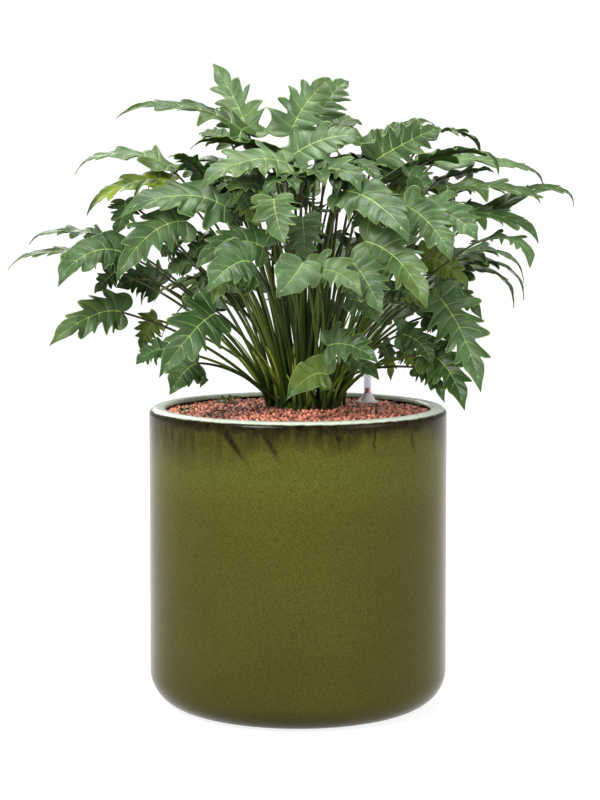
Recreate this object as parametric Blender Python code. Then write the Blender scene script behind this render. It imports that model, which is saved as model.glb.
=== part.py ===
"""Philodendron xanadu, a clump of leafy shoots standing in clay granules in a glazed cylinder pot.

Metres, +Z up, front towards -Y. The origin is the middle of the pot's foot, on the floor.
"""

import math

import bmesh
import bpy
from mathutils import Vector
from mathutils.bvhtree import BVHTree

# Pot
POT_RADIUS = 0.165
POT_HEIGHT = 0.330
POT_INNER = 0.147
POT_FLOOR = 0.018
FOOT_ROUND = 0.038
LIP_ROUND = 0.008
POT_SIDES = 40

# Bed of clay granules
BED_TOP = 0.3215
MOUND = 0.005
GRAIN = 0.0008
GAP = 0.00035

# Clump of shoots
CROWN = Vector((0.008, 0.030))
STEM_RADIUS = 0.0062
STEM_TOP = 0.334
STEM_FOOT = 0.286
INNER_RING = 0.0165
OUTER_RING = 0.0330
INNER_SHOOTS = 6
OUTER_SHOOTS = 10

# Leaves
BLADE = 0.0009
PETIOLE = 0.0017
CLEAR = 0.0009
LEVELS = 14
HOMES = 4
BENDS = tuple(
    (aside, rise)
    for rise in (0.0, 0.12, -0.12)
    for aside in (0.0, 0.008, -0.008, 0.018, -0.018, 0.030, -0.030)
)
SAME_SHOOT = 0.02

# Water gauge
GAUGE = Vector((0.0800, 0.085))
GAUGE_OUTER = 0.0045
GAUGE_INNER = 0.0031
GAUGE_TOP = 0.392
GAUGE_FLARE = 0.0125
ROD_RADIUS = 0.0024
ROD_TOP = 0.338
TUBE_SIDES = 16

# The place from which the leaves' joints and tips were read: a level eye in front of the pot
EYE_DISTANCE = 2.44
EYE_HEIGHT = 0.61
EYE_FOCUS = 2189.0
EYE_U = 298.0
EYE_V = 153.0

# Each leaf: the joint of blade and petiole, the blade's middle and its tip, in the eye's picture
# units, then how far behind the pot's axis the joint and the tip lie, in millimetres, the blade's
# width in millimetres and how much its face turns to the front (0 lies flat, 1 stands upright)
LEAVES = {
    "dark_left": ((270, 152), (232, 141), (191, 150), 20, -10, 54, -0.25),
    "summit_left": ((250, 140), (237, 104), (215, 68), 30, 90, 56, 0.8),
    "long_left": ((244, 137), (190, 112), (120, 123), 10, 0, 58, 0.28),
    "summit": ((290, 135), (306, 104), (330, 79), 10, 60, 66, 0.9),
    "summit_back": ((318, 122), (331, 96), (348, 82), 60, 100, 52, 0.7),
    "summit_right": ((328, 140), (345, 120), (353, 126), 80, 130, 48, 0.5),
    "high_right": ((291, 158), (330, 139), (365, 144), -10, 0, 58, 0.45),
    "back_right": ((364, 145), (400, 128), (432, 124), 60, 90, 52, 0.25),
    "back_right_low": ((375, 160), (408, 141), (438, 129), 20, 50, 62, 0.7),
    "edge_right": ((425, 137), (455, 131), (479, 155), 60, 90, 44, 0.1),
    "arch_right": ((393, 180), (455, 152), (496, 175), 0, -60, 60, -0.25),
    "hook_right": ((430, 160), (497, 158), (538, 181), 20, 40, 56, 0.2),
    "shade_right": ((436, 179), (466, 172), (492, 172), 40, 50, 50, -0.3),
    "wing_right": ((445, 188), (497, 187), (538, 203), -10, -20, 56, 0.22),
    "pale_right": ((454, 192), (479, 186), (500, 190), 50, 66, 40, -0.1),
    "far_right": ((491, 210), (540, 188), (571, 206), 20, 40, 48, 0.22),
    "low_wing_right": ((440, 214), (497, 216), (536, 243), -20, -30, 56, 0.3),
    "fold_right": ((476, 241), (512, 240), (528, 268), -30, -60, 42, 0.1),
    "grey_right": ((428, 210), (454, 218), (476, 241), -60, -90, 60, 0.55),
    "front_right": ((404, 205), (432, 228), (450, 262), -70, -110, 56, 0.7),
    "big_front": ((343, 191), (377, 205), (407, 243), -60, -140, 64, 0.5),
    "pale_front": ((307, 178), (336, 166), (361, 190), -30, -80, 60, 0.45),
    "small_yellow": ((400, 186), (387, 180), (373, 185), 0, -10, 26, 0.5),
    "pale_left": ((287, 163), (243, 163), (201, 192), -30, -90, 62, 0.42),
    "yellow_left": ((170, 181), (128, 184), (89, 215), 0, 10, 56, 0.32),
    "hang_left": ((127, 200), (125, 214), (116, 235), 10, 16, 38, 0.9),
    "far_left": ((113, 238), (70, 230), (31, 244), 20, 40, 44, 0.15),
    "high_left": ((172, 172), (124, 157), (79, 178), 20, 40, 54, 0.2),
    "fold_left": ((205, 177), (190, 161), (170, 158), 10, -20, 46, -0.2),
    "back_left": ((232, 143), (217, 134), (200, 134), 80, 110, 48, 0.3),
    "dark_front_left": ((226, 207), (180, 196), (121, 218), -40, -70, 68, 0.42),
    "drop_left": ((187, 219), (150, 232), (118, 278), -60, -90, 58, 0.7),
    "pale_low_left": ((125, 252), (90, 253), (60, 286), -20, -50, 56, 0.5),
    "reach_left": ((108, 256), (60, 250), (10, 268), 20, 40, 44, 0.2),
    "under_left": ((118, 270), (108, 278), (96, 292), 0, 10, 30, 0.7),
    "low_left": ((123, 309), (92, 312), (50, 341), 0, -20, 54, 0.7),
    "mid_left": ((155, 287), (134, 284), (110, 294), 20, 26, 52, 0.7),
    "thin_mid": ((208, 281), (187, 286), (163, 297), 40, 30, 30, 0.4),
    "low_front_left": ((215, 313), (192, 333), (160, 377), -80, -130, 66, 0.8),
    "rim_left": ((198, 362), (185, 371), (170, 394), -60, -90, 48, 0.8),
    "low_back_left": ((165, 348), (151, 351), (137, 363), 10, 20, 34, 0.6),
    "yellow_low": ((158, 318), (148, 330), (142, 349), 40, 46, 34, 0.7),
    "mid_front_left": ((252, 262), (232, 266), (208, 292), -110, -160, 58, 0.7),
    "dark_mid": ((243, 275), (226, 280), (213, 305), -80, -104, 40, 0.6),
    "gloss_left": ((264, 247), (231, 243), (196, 270), -70, -100, 54, 0.6),
    "gloss_front": ((274, 199), (277, 218), (285, 246), -90, -124, 54, 0.9),
    "olive_front": ((268, 189), (248, 184), (228, 192), -40, -70, 44, 0.5),
    "olive_hang": ((243, 193), (250, 208), (260, 227), -30, -44, 34, 0.9),
    "middle": ((302, 216), (304, 236), (303, 260), -60, -88, 48, 0.9),
    "dark_small": ((373, 222), (362, 220), (350, 229), -10, -20, 28, 0.6),
    "pale_middle": ((303, 262), (294, 276), (276, 298), -120, -160, 50, 0.8),
    "ribbed_middle": ((313, 272), (338, 273), (362, 297), -110, -150, 46, 0.7),
    "drop_middle": ((352, 262), (367, 283), (381, 315), -110, -150, 56, 0.8),
    "big_right": ((364, 241), (399, 262), (426, 309), -80, -136, 66, 0.8),
    "long_drop_right": ((439, 297), (463, 337), (480, 392), -60, -104, 62, 0.8),
    "narrow_right": ((437, 283), (462, 293), (481, 315), -10, -20, 34, 0.6),
    "olive_right": ((423, 256), (447, 265), (466, 290), 40, 50, 46, 0.6),
    "rim_right": ((426, 352), (448, 370), (464, 410), -56, -96, 52, 0.8),
    "rim_narrow": ((416, 366), (432, 377), (444, 402), -40, -64, 30, 0.7),
    "under_right": ((425, 315), (440, 323), (450, 345), -30, -44, 36, 0.8),
    "under_middle": ((400, 333), (419, 342), (432, 365), -56, -76, 38, 0.8),
    "olive_low": ((400, 350), (410, 356), (418, 371), 16, 10, 28, 0.8),
    "low_middle": ((327, 345), (351, 345), (378, 363), -84, -116, 46, 0.7),
    "low_shade": ((345, 352), (361, 362), (379, 379), -50, -70, 34, 0.7),
    "yellow_right": ((383, 342), (389, 358), (391, 380), 10, 4, 22, 0.9),
    "low_bright": ((328, 374), (309, 376), (286, 400), -80, -112, 40, 0.7),
    "mid_ribbed": ((345, 296), (361, 300), (376, 320), -76, -96, 34, 0.8),
    "mid_olive": ((390, 290), (408, 292), (425, 310), -40, -60, 36, 0.6),
    "top_fold": ((414, 171), (426, 174), (431, 190), -10, -16, 34, 0.7),
    "light_right": ((405, 203), (417, 200), (429, 210), -20, -34, 30, 0.5),
    "grey_back": ((391, 181), (390, 170), (384, 160), 60, 76, 34, 0.8),
    "grey_left": ((240, 211), (236, 218), (234, 232), 40, 34, 32, 0.9),
    "dark_back": ((306, 176), (300, 184), (296, 202), 60, 66, 44, 0.9),
    "inner_left": ((207, 244), (199, 247), (189, 257), 50, 56, 34, 0.7),
    "inner_low_left": ((171, 250), (164, 253), (156, 263), 50, 60, 34, 0.7),
    "brown_left": ((190, 274), (178, 279), (165, 293), 50, 60, 40, 0.6),
}

# Leaves of the half that faces away: they follow the golden angle over a dome
BACK_LEAVES = 17
GOLDEN = math.pi * (3.0 - math.sqrt(5.0))


def clear_scene():
    for item in list(bpy.data.objects):
        bpy.data.objects.remove(item, do_unlink=True)


def material(name, colour, roughness, metallic=0.0):
    made = bpy.data.materials.new(name)
    made.use_nodes = True
    shader = made.node_tree.nodes["Principled BSDF"]
    shader.inputs["Base Color"].default_value = (*colour, 1.0)
    shader.inputs["Roughness"].default_value = roughness
    shader.inputs["Metallic"].default_value = metallic
    return made


def mesh_object(name, points, faces, look, smooth=False):
    mesh = bpy.data.meshes.new(name)
    mesh.from_pydata([tuple(p) for p in points], [], faces)
    body = bmesh.new()
    body.from_mesh(mesh)
    bmesh.ops.recalc_face_normals(body, faces=body.faces)
    body.to_mesh(mesh)
    body.free()
    mesh.materials.append(look)
    if smooth:
        mesh.shade_smooth()
        mesh.set_sharp_from_angle(angle=math.radians(40))
    made = bpy.data.objects.new(name, mesh)
    bpy.context.scene.collection.objects.link(made)
    return made


def apply_boolean(target, operation, solver, other=None, group=None):
    change = target.modifiers.new("change", "BOOLEAN")
    change.operation = operation
    change.solver = solver
    if group is not None:
        change.operand_type = "COLLECTION"
        change.collection = group
    else:
        change.object = other
    seen = bpy.context.evaluated_depsgraph_get()
    result = bpy.data.meshes.new_from_object(target.evaluated_get(seen))
    target.modifiers.clear()
    target.data = result


# Turned pieces


def turned(name, profile, sides, look, centre=Vector((0.0, 0.0)), closed=False):
    """A body of revolution. A profile point on the axis becomes one vertex."""
    points = []
    rings = []
    for radius, height in profile:
        if radius == 0.0:
            rings.append([len(points)] * sides)
            points.append((centre.x, centre.y, height))
            continue
        rings.append(range(len(points), len(points) + sides))
        for k in range(sides):
            turn = 2.0 * math.pi * k / sides
            points.append(
                (centre.x + radius * math.cos(turn), centre.y + radius * math.sin(turn), height)
            )
    faces = []
    pairs = list(zip(rings, rings[1:]))
    if closed:
        pairs.append((rings[-1], rings[0]))
    for lower, upper in pairs:
        for k in range(sides):
            n = (k + 1) % sides
            face = []
            for vertex in (lower[k], lower[n], upper[n], upper[k]):
                if vertex not in face:
                    face.append(vertex)
            faces.append(face)
    return mesh_object(name, points, faces, look, smooth=True)


def arc(centre_r, centre_z, radius, start, end, steps):
    return [
        (
            centre_r + radius * math.cos(math.radians(start + (end - start) * k / steps)),
            centre_z + radius * math.sin(math.radians(start + (end - start) * k / steps)),
        )
        for k in range(steps + 1)
    ]


def make_pot(look):
    profile = [(0.0, 0.0)]
    profile += arc(POT_RADIUS - FOOT_ROUND, FOOT_ROUND, FOOT_ROUND, -90, 0, 4)
    profile += arc(POT_RADIUS - LIP_ROUND, POT_HEIGHT - LIP_ROUND, LIP_ROUND, 0, 90, 2)
    profile += arc(POT_INNER + 0.004, POT_HEIGHT - 0.004, 0.004, 90, 180, 1)
    profile += [(POT_INNER, POT_FLOOR + 0.012), (POT_INNER - 0.012, POT_FLOOR), (0.0, POT_FLOOR)]
    return turned("pot", profile, POT_SIDES, look)


def bed_height(x, y):
    """The granules' top: level, with a low mound round the crown and the relief of the grains."""
    away = (Vector((x, y)) - CROWN).length
    mound = MOUND * math.exp(-((away / 0.055) ** 2))
    grain = math.sin(x * 911.0 + 1.3) * math.sin(y * 787.0 + 0.4) + 0.6 * math.sin((x + y) * 1370.0)
    return BED_TOP + mound + GRAIN * grain


def make_bed(look, shoots):
    edge = POT_INNER - GAP
    rings = 5
    points = [(0.0, 0.0, POT_FLOOR + GAP)]
    rows = []
    heights = [(POT_INNER - 0.0122, POT_FLOOR + GAP), (edge, POT_FLOOR + 0.0122)]
    for radius, height in heights:
        rows.append([len(points) + k for k in range(POT_SIDES)])
        for k in range(POT_SIDES):
            turn = 2.0 * math.pi * k / POT_SIDES
            points.append((radius * math.cos(turn), radius * math.sin(turn), height))
    for ring in range(rings, 0, -1):
        radius = edge * ring / rings
        rows.append([len(points) + k for k in range(POT_SIDES)])
        for k in range(POT_SIDES):
            turn = 2.0 * math.pi * k / POT_SIDES
            x = radius * math.cos(turn)
            y = radius * math.sin(turn)
            points.append((x, y, bed_height(x, y)))
    faces = []
    for lower, upper in zip(rows, rows[1:]):
        for k in range(POT_SIDES):
            n = (k + 1) % POT_SIDES
            faces.append([lower[k], lower[n], upper[n]])
            faces.append([lower[k], upper[n], upper[k]])
    top = len(points)
    points.append((0.0, 0.0, bed_height(0.0, 0.0)))
    for k in range(POT_SIDES):
        n = (k + 1) % POT_SIDES
        faces.append([0, rows[0][n], rows[0][k]])
        faces.append([rows[-1][k], rows[-1][n], top])
    bed = mesh_object("clay_granules", points, faces, look)
    for place in shoots.values():
        hole = prism("hole", place, STEM_RADIUS + 0.0005, STEM_FOOT - GAP, 0.36, 8)
        apply_boolean(bed, "DIFFERENCE", "EXACT", other=hole)
        bpy.data.objects.remove(hole, do_unlink=True)
    well = prism("well", GAUGE, GAUGE_OUTER + GAP, 0.0, 0.36, TUBE_SIDES)
    apply_boolean(bed, "DIFFERENCE", "EXACT", other=well)
    bpy.data.objects.remove(well, do_unlink=True)
    return bed


def prism(name, place, radius, low, high, sides):
    return turned(
        name, [(0.0, low), (radius, low), (radius, high), (0.0, high)], sides, LOOKS["leaf"], place
    )


def make_gauge(clear_look, red_look):
    """A clear tube with a flared collar just over the granules, and the float's rod inside it."""
    collar = BED_TOP + 0.0035
    low = POT_FLOOR + GAP
    profile = [
        (GAUGE_OUTER, low),
        (GAUGE_OUTER, collar),
        (GAUGE_FLARE, collar),
        (GAUGE_FLARE, collar + 0.0015),
        (GAUGE_OUTER + 0.0022, collar + 0.005),
        (GAUGE_OUTER, collar + 0.010),
        (GAUGE_OUTER, GAUGE_TOP),
        (0.0, GAUGE_TOP),
        (0.0, GAUGE_TOP - 0.0015),
        (GAUGE_INNER, GAUGE_TOP - 0.0015),
        (GAUGE_INNER, low),
    ]
    turned("gauge_tube", profile, TUBE_SIDES, clear_look, GAUGE, closed=True)
    rod = [(0.0, low), (ROD_RADIUS, low), (ROD_RADIUS, ROD_TOP), (0.0, ROD_TOP)]
    turned("gauge_float", rod, 12, red_look, GAUGE)


# Leaves


def seen_point(u, v, depth):
    """The point that the eye sees at (u, v), depth millimetres behind the pot's axis."""
    away = EYE_DISTANCE + depth / 1000.0
    return Vector(
        (
            (u - EYE_U) / EYE_FOCUS * away,
            depth / 1000.0,
            EYE_HEIGHT - (v - EYE_V) / EYE_FOCUS * away,
        )
    )


def leaf_list():
    leaves = {}
    for name, (joint, middle, tip, near, far, width, face) in LEAVES.items():
        start = seen_point(*joint, near)
        end = seen_point(*tip, far)
        way = seen_point(*middle, 0.55 * near + 0.45 * far)
        leaves[name] = (start, 2.0 * way - (start + end) / 2.0, end, width / 1000.0, face)
    for k in range(BACK_LEAVES):
        turn = math.radians(12.0) + (k * GOLDEN) % math.radians(156.0)
        rise = math.radians(8.0 + 66.0 * ((k * 0.618 + 0.35) % 1.0))
        reach = 0.16 + 0.07 * ((k * 0.382 + 0.2) % 1.0)
        out = Vector((math.cos(turn), math.sin(turn), 0.0))
        up = Vector((0.0, 0.0, 1.0))
        base = Vector((CROWN.x, CROWN.y, 0.385))
        start = base + out * reach * math.cos(rise) + up * reach * 0.98 * math.sin(rise)
        length = 0.105 + 0.015 * math.sin(k * 1.7)
        way = start + out * length * 0.55 + up * length * (0.12 + 0.15 * math.sin(rise))
        end = start + out * length * 0.96 - up * length * (0.42 - 0.45 * math.sin(rise))
        leaves["back_%02d" % k] = (start, 2.0 * way - (start + end) / 2.0, end, 0.062, 0.15)
    return leaves


def shoot_places():
    places = {"shoot_middle": CROWN.copy()}
    for k in range(INNER_SHOOTS):
        turn = 2.0 * math.pi * (k + 0.25) / INNER_SHOOTS
        places["shoot_inner_%d" % (k + 1)] = CROWN + INNER_RING * Vector(
            (math.cos(turn), math.sin(turn))
        )
    for k in range(OUTER_SHOOTS):
        turn = 2.0 * math.pi * (k + 0.5) / OUTER_SHOOTS
        places["shoot_outer_%d" % (k + 1)] = CROWN + OUTER_RING * Vector(
            (math.cos(turn), math.sin(turn))
        )
    return places


def homes(leaf, shoots, placed):
    """The shoots that suit a leaf, best first: the steepest leaves grow from the middle one, the
    flattest from the outer ring, and a shoot with many leaves comes later."""
    out = Vector((leaf[0].x - CROWN.x, leaf[0].y - CROWN.y))
    rise = math.degrees(math.atan2(leaf[0].z - BED_TOP, out.length))
    ideal = CROWN + out.normalized() * OUTER_RING * min(1.0, max(0.0, (86.0 - rise) / 40.0))
    order = {name: (at - ideal).length + 0.0015 * len(placed[name]) for name, at in shoots.items()}
    return sorted(order, key=order.get)[:HOMES]


def moved(leaf, level):
    """The leaf, shifted and swung a little further with each level."""
    start, way, end, width, face = leaf
    amount = 0.0016 * level
    turn = level * GOLDEN
    shift = Vector((math.cos(turn) * 0.5, math.sin(turn * 1.7), math.sin(turn) * 0.7)) * amount
    lift = Vector((0.0, 0.0, 1.0)) * amount * 0.5 * math.cos(turn * 0.7)
    return start + shift, way + shift + lift, end + shift * 1.2 + lift, width, face


def bezier(points, t):
    rest = list(points)
    while len(rest) > 1:
        rest = [a.lerp(b, t) for a, b in zip(rest, rest[1:])]
    return rest[0]


def slope(points, t):
    step = 0.01
    low = max(0.0, t - step)
    high = min(1.0, t + step)
    return (bezier(points, high) - bezier(points, low)).normalized()


# One side of a blade from its heart-shaped base to the tip: along the midrib, and across it
LOBES = (
    (-0.085, 0.36),
    (-0.030, 0.82),
    (0.110, 0.74),
    (0.235, 1.0),
    (0.225, 0.68),
    (0.395, 0.93),
    (0.385, 0.58),
    (0.555, 0.78),
    (0.540, 0.50),
    (0.720, 0.58),
    (0.705, 0.36),
)
# The points of the midrib, and the one that each point of the margin is joined to
RIB = (0.0, 0.10, 0.24, 0.38, 0.53, 0.70)
RIB_OF = (0, 0, 1, 1, 2, 2, 3, 3, 4, 4, 5)


def blade_frame(leaf, t):
    start, way, end, width, face = leaf
    along = slope((start, way, end), min(max(t, 0.0), 1.0))
    facing = Vector((0.0, -face, 1.0 - face)).normalized()
    if abs(along.dot(facing)) > 0.94:
        facing = Vector((0.0, -1.0 + face, face)).normalized()
    side = along.cross(facing).normalized()
    return along, side, side.cross(along).normalized()


def blade_point(leaf, t, across):
    """A point of the blade, t along the midrib and across it in half widths, and its upward
    direction. The halves rise from the midrib and droop at the margin, and the tip hooks down."""
    start, way, end, width, face = leaf
    along, side, up = blade_frame(leaf, min(1.0, max(0.0, t)))
    length = (way - start).length + (end - way).length
    at = bezier((start, way, end), max(t, 0.0)) + along * min(t, 0.0) * length
    half = across * width / 2.0
    lift = 0.24 * abs(half) - 8.0 * half * half - 0.004 * math.sin(t * 21.0) * across * across
    far = max(0.0, t - 0.5)
    hook = 1.9 * length * far * far * (1.0 - t)
    return at + side * half + up * (lift + hook), up


def leaf_mesh(leaf, root, bend, thick, radius):
    """A lobed blade and its petiole as one closed solid. Both faces of the blade are split into
    the same triangles, and the petiole's three sides run into the blade's heart-shaped base."""
    outline = [(t, 0.0) for t in RIB] + [(1.0, 0.0)]
    left = list(range(len(outline), len(outline) + len(LOBES)))
    outline += [(t, w) for t, w in LOBES]
    right = list(range(len(outline), len(outline) + len(LOBES)))
    outline += [(t, -w) for t, w in LOBES]
    tip = len(RIB)
    upper = []
    lower = []
    for t, across in outline:
        point, up = blade_point(leaf, t, across)
        upper.append(point + up * thick / 2.0)
        lower.append(point - up * thick / 2.0)
    sheet = []
    for margin, turned_over in ((left, False), (right, True)):
        strip = []
        for k in range(len(margin) - 1):
            strip.append((RIB_OF[k], margin[k], margin[k + 1]))
            if RIB_OF[k + 1] != RIB_OF[k]:
                strip.append((RIB_OF[k], margin[k + 1], RIB_OF[k + 1]))
        strip.append((RIB_OF[-1], margin[-1], tip))
        sheet += [tuple(reversed(f)) if turned_over else f for f in strip]
    count = len(outline)
    points = upper + lower
    faces = list(sheet)
    faces += [tuple(reversed([v + count for v in f])) for f in sheet]
    loop = left + [tip] + right[::-1]
    for a, b in zip(loop, loop[1:]):
        faces.append((b, a, a + count))
        faces.append((b, a + count, b + count))
    rings = petiole_rings(leaf, root, bend, radius)
    first = len(points)
    for ring in rings:
        points += ring
    for k in range(len(rings) - 1):
        for n in range(3):
            m = (n + 1) % 3
            low = first + 3 * k
            faces.append((low + n, low + m, low + 3 + m))
            faces.append((low + n, low + 3 + m, low + 3 + n))
    faces.append((first + 2, first + 1, first))
    crest = first + 3 * (len(rings) - 1)
    port = crest + 1
    starboard = crest + 2
    a = left[0]
    b = right[0]
    faces += [(0, a, crest), (0, crest, b)]
    faces += [(a, a + count, port), (a, port, crest)]
    faces += [(b + count, b, starboard), (b, crest, starboard)]
    faces += [(count, port, a + count), (count, starboard, port), (count, b + count, starboard)]
    return points, faces


def petiole_route(leaf, root, bend):
    """The petiole's route: up out of the shoot, then outwards and under the blade's base."""
    start = leaf[0]
    foot = Vector((root.x, root.y, STEM_TOP - 0.006))
    out = start - foot
    flat = Vector((out.x, out.y, 0.0))
    foot = foot + flat.normalized() * 0.0030
    over = max(0.70 * out.z, min(0.10, 0.42 * flat.length)) * (1.0 + bend[1])
    knee = Vector((foot.x + 0.36 * flat.x, foot.y + 0.36 * flat.y, foot.z + over))
    aside = Vector((-flat.y, flat.x, 0.0)).normalized() * bend[0]
    return foot + aside * 0.08, knee + aside, start


def petiole_rings(leaf, root, bend, radius):
    """Three-sided sections from the shoot up to the blade: the first corner is the crest."""
    route = petiole_route(leaf, root, bend)
    length = (leaf[1] - leaf[0]).length + (leaf[2] - leaf[1]).length
    steps = (0.0, 0.32, 0.62, 0.87)
    along, side, up = blade_frame(leaf, 0.0)
    last = leaf[0] + along * (-0.055) * length - up * 0.0006
    centres = [bezier(route, t) for t in steps] + [last]
    scales = [1.0 - 0.40 * t for t in steps] + [0.52]
    rings = []
    for k in range(len(centres) - 1, -1, -1):
        ahead = centres[min(k + 1, len(centres) - 1)]
        behind = centres[max(k - 1, 0)]
        run = (ahead - behind).normalized()
        side = (side - run * run.dot(side)).normalized()
        top = side.cross(run).normalized()
        ring = []
        for turn in (90.0, -30.0, 210.0):
            offset = side * math.cos(math.radians(turn)) + top * math.sin(math.radians(turn))
            ring.append(centres[k] + offset * radius * scales[k])
        rings.insert(0, ring)
    return rings


def tries(leaf, shoots, placed):
    """Every place to try for a leaf: first another bend of its petiole, then another shoot, and
    only then a shift of the leaf itself."""
    for level in range(LEVELS):
        for home in homes(leaf, shoots, placed):
            for bend in BENDS:
                yield moved(leaf, level), home, bend


def settle(shoots, standing):
    """Place the leaves one after another, each where it is clear of the other shoots."""
    placed = {name: [] for name in shoots}
    trees = {name: [] for name in shoots}
    for name, leaf in leaf_list().items():
        best = None
        count = 0
        for tried, home, bend in tries(leaf, shoots, placed):
            count += 1
            shape = leaf_mesh(tried, shoots[home], bend, BLADE + 2.0 * CLEAR, PETIOLE + CLEAR)
            tree = BVHTree.FromPolygons(*shape)
            others = [t for other in shoots if other != home for t in trees[other]]
            hits = sum(1 for other in others + standing if tree.overlap(other))
            if not hits:
                hits = 0.001 * sum(len(tree.overlap(other)) for other in trees[home])
            if best is None or hits < best[0]:
                best = (hits, tried, home, bend, count)
            if hits < SAME_SHOOT:
                break
        hits, tried, home, bend, count = best
        if hits >= 1:
            print("left out, no clear place:", name, home)
            continue
        if count > 60:
            print(name, "moved at try", count)
        exact = leaf_mesh(tried, shoots[home], bend, BLADE, PETIOLE)
        trees[home].append(BVHTree.FromPolygons(*exact))
        placed[home].append((name, tried, bend))
    return placed


def make_shoots(look, shoots, placed):
    for name, leaves in placed.items():
        if not leaves:
            print("no leaves on", name)
            continue
        shoot = prism(name, shoots[name], STEM_RADIUS, STEM_FOOT, STEM_TOP, 8)
        shoot.data.materials.clear()
        shoot.data.materials.append(look)
        group = bpy.data.collections.new(name + "_leaves")
        parts = []
        for label, leaf, bend in leaves:
            shape = leaf_mesh(leaf, shoots[name], bend, BLADE, PETIOLE)
            parts.append(mesh_object(label, *shape, look))
        for part in parts:
            bpy.context.scene.collection.objects.unlink(part)
            group.objects.link(part)
        bpy.context.scene.collection.children.link(group)
        apply_boolean(shoot, "UNION", "MANIFOLD", group=group)
        for part in parts:
            bpy.data.objects.remove(part, do_unlink=True)
        bpy.data.collections.remove(group)
        tidy(shoot)


def tidy(item):
    """Split a union's faces into triangles and drop what came loose from it."""
    body = bmesh.new()
    body.from_mesh(item.data)
    bmesh.ops.triangulate(body, faces=body.faces)
    drop_scraps(body, item.name)
    body.to_mesh(item.data)
    body.free()


def drop_scraps(body, name):
    """Keep the largest body of a union and drop what came loose from it."""
    left = set(body.faces)
    groups = []
    while left:
        group = []
        stack = [left.pop()]
        while stack:
            face = stack.pop()
            group.append(face)
            for edge in face.edges:
                if len(edge.link_faces) != 2:
                    continue
                for other in edge.link_faces:
                    if other in left:
                        left.discard(other)
                        stack.append(other)
        groups.append(group)
    groups.sort(key=len)
    for group in groups[:-1]:
        print(name, "drops a loose scrap of", len(group), "faces")
        bmesh.ops.delete(body, geom=group, context="FACES")


def solid_tree(item):
    points = [v.co.copy() for v in item.data.vertices]
    return BVHTree.FromPolygons(points, [tuple(f.vertices) for f in item.data.polygons])


LOOKS = {}


def build():
    clear_scene()
    LOOKS["glaze"] = material("olive_glaze", (0.145, 0.135, 0.028), 0.22)
    LOOKS["clay"] = material("clay_granules", (0.42, 0.13, 0.075), 0.75)
    LOOKS["leaf"] = material("leaf_green", (0.115, 0.22, 0.10), 0.45)
    LOOKS["clear"] = material("gauge_clear", (0.80, 0.78, 0.86), 0.15)
    LOOKS["red"] = material("gauge_red", (0.75, 0.10, 0.03), 0.40)
    shoots = shoot_places()
    pot = make_pot(LOOKS["glaze"])
    bed = make_bed(LOOKS["clay"], shoots)
    make_gauge(LOOKS["clear"], LOOKS["red"])
    gauge = bpy.data.objects["gauge_tube"]
    placed = settle(shoots, [solid_tree(pot), solid_tree(gauge), solid_tree(bed)])
    make_shoots(LOOKS["leaf"], shoots, placed)
    for item in bpy.data.objects:
        item.data.calc_loop_triangles()
        print(item.name, len(item.data.loop_triangles), "triangles", len(placed.get(item.name, [])))


build()
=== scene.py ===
"""Philodendron xanadu in a glazed cylinder pot: the finished look over the solid model."""

from math import cos, exp, pi, radians, sin, sqrt

import bmesh
import bpy
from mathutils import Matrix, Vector
from mathutils.kdtree import KDTree


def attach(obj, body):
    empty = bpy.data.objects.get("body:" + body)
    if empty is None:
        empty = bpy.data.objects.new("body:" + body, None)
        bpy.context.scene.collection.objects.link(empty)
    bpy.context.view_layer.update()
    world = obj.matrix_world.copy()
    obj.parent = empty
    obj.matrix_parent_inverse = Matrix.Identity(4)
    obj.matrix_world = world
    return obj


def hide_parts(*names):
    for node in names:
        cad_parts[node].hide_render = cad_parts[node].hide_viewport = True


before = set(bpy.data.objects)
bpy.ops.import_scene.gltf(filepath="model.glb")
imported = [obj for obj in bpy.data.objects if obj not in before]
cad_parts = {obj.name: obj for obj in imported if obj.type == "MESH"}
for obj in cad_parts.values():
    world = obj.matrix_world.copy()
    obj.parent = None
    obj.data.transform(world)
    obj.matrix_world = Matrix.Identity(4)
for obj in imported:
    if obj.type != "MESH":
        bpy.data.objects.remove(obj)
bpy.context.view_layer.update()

# Pot
POT_RADIUS = 0.165
POT_HEIGHT = 0.330
POT_INNER = 0.147
POT_FLOOR = 0.018
FOOT_ROUND = 0.038
LIP_ROUND = 0.008
POT_TURNS = 192

# Bed of clay granules
BED_TOP = 0.3215
MOUND = 0.005
GRAIN_SIZE = 0.0043
GRAIN_SPACING = 0.0047
GRAIN_DENSITY = 400000.0
CLAY = (0.86, 0.345, 0.235)

# Each half of the bed: its name, its first and last turn in degrees and its seed
GRANULE_HALVES = (("granules_front", 180, 360, 3), ("granules_back", 0, 180, 8))

# Clump of shoots
CROWN = Vector((0.008, 0.030))
STEM_TOP = 0.334
STEM_FOOT = 0.286

# Each ring of shoots: its name, its radius, how many shoots it has and where in a step it starts
SHOOT_RINGS = (("inner", 0.0165, 6, 0.25), ("outer", 0.0330, 10, 0.5))

# The outline of a shoot's stem, as radius and height
STUB = (
    (0.0035, STEM_FOOT),
    (0.0058, 0.300),
    (0.0066, 0.322),
    (0.0060, 0.331),
    (0.0030, STEM_TOP),
)
STUB_SIDES = 12

# Leaves
BLADE = 0.0009
BLADE_WALL = 0.0006
SCRAP_WALL = 0.0005
VEINS = 7.0
PETIOLE = 0.0017
STALK = 0.0021
PETIOLE_STEPS = 20
RIB_RINGS = 8
TUBE_SIDES = 8
LEVELS = 14
BENDS = tuple(
    (aside, rise)
    for rise in (0.0, 0.12, -0.12)
    for aside in (0.0, 0.008, -0.008, 0.018, -0.018, 0.030, -0.030)
)

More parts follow.
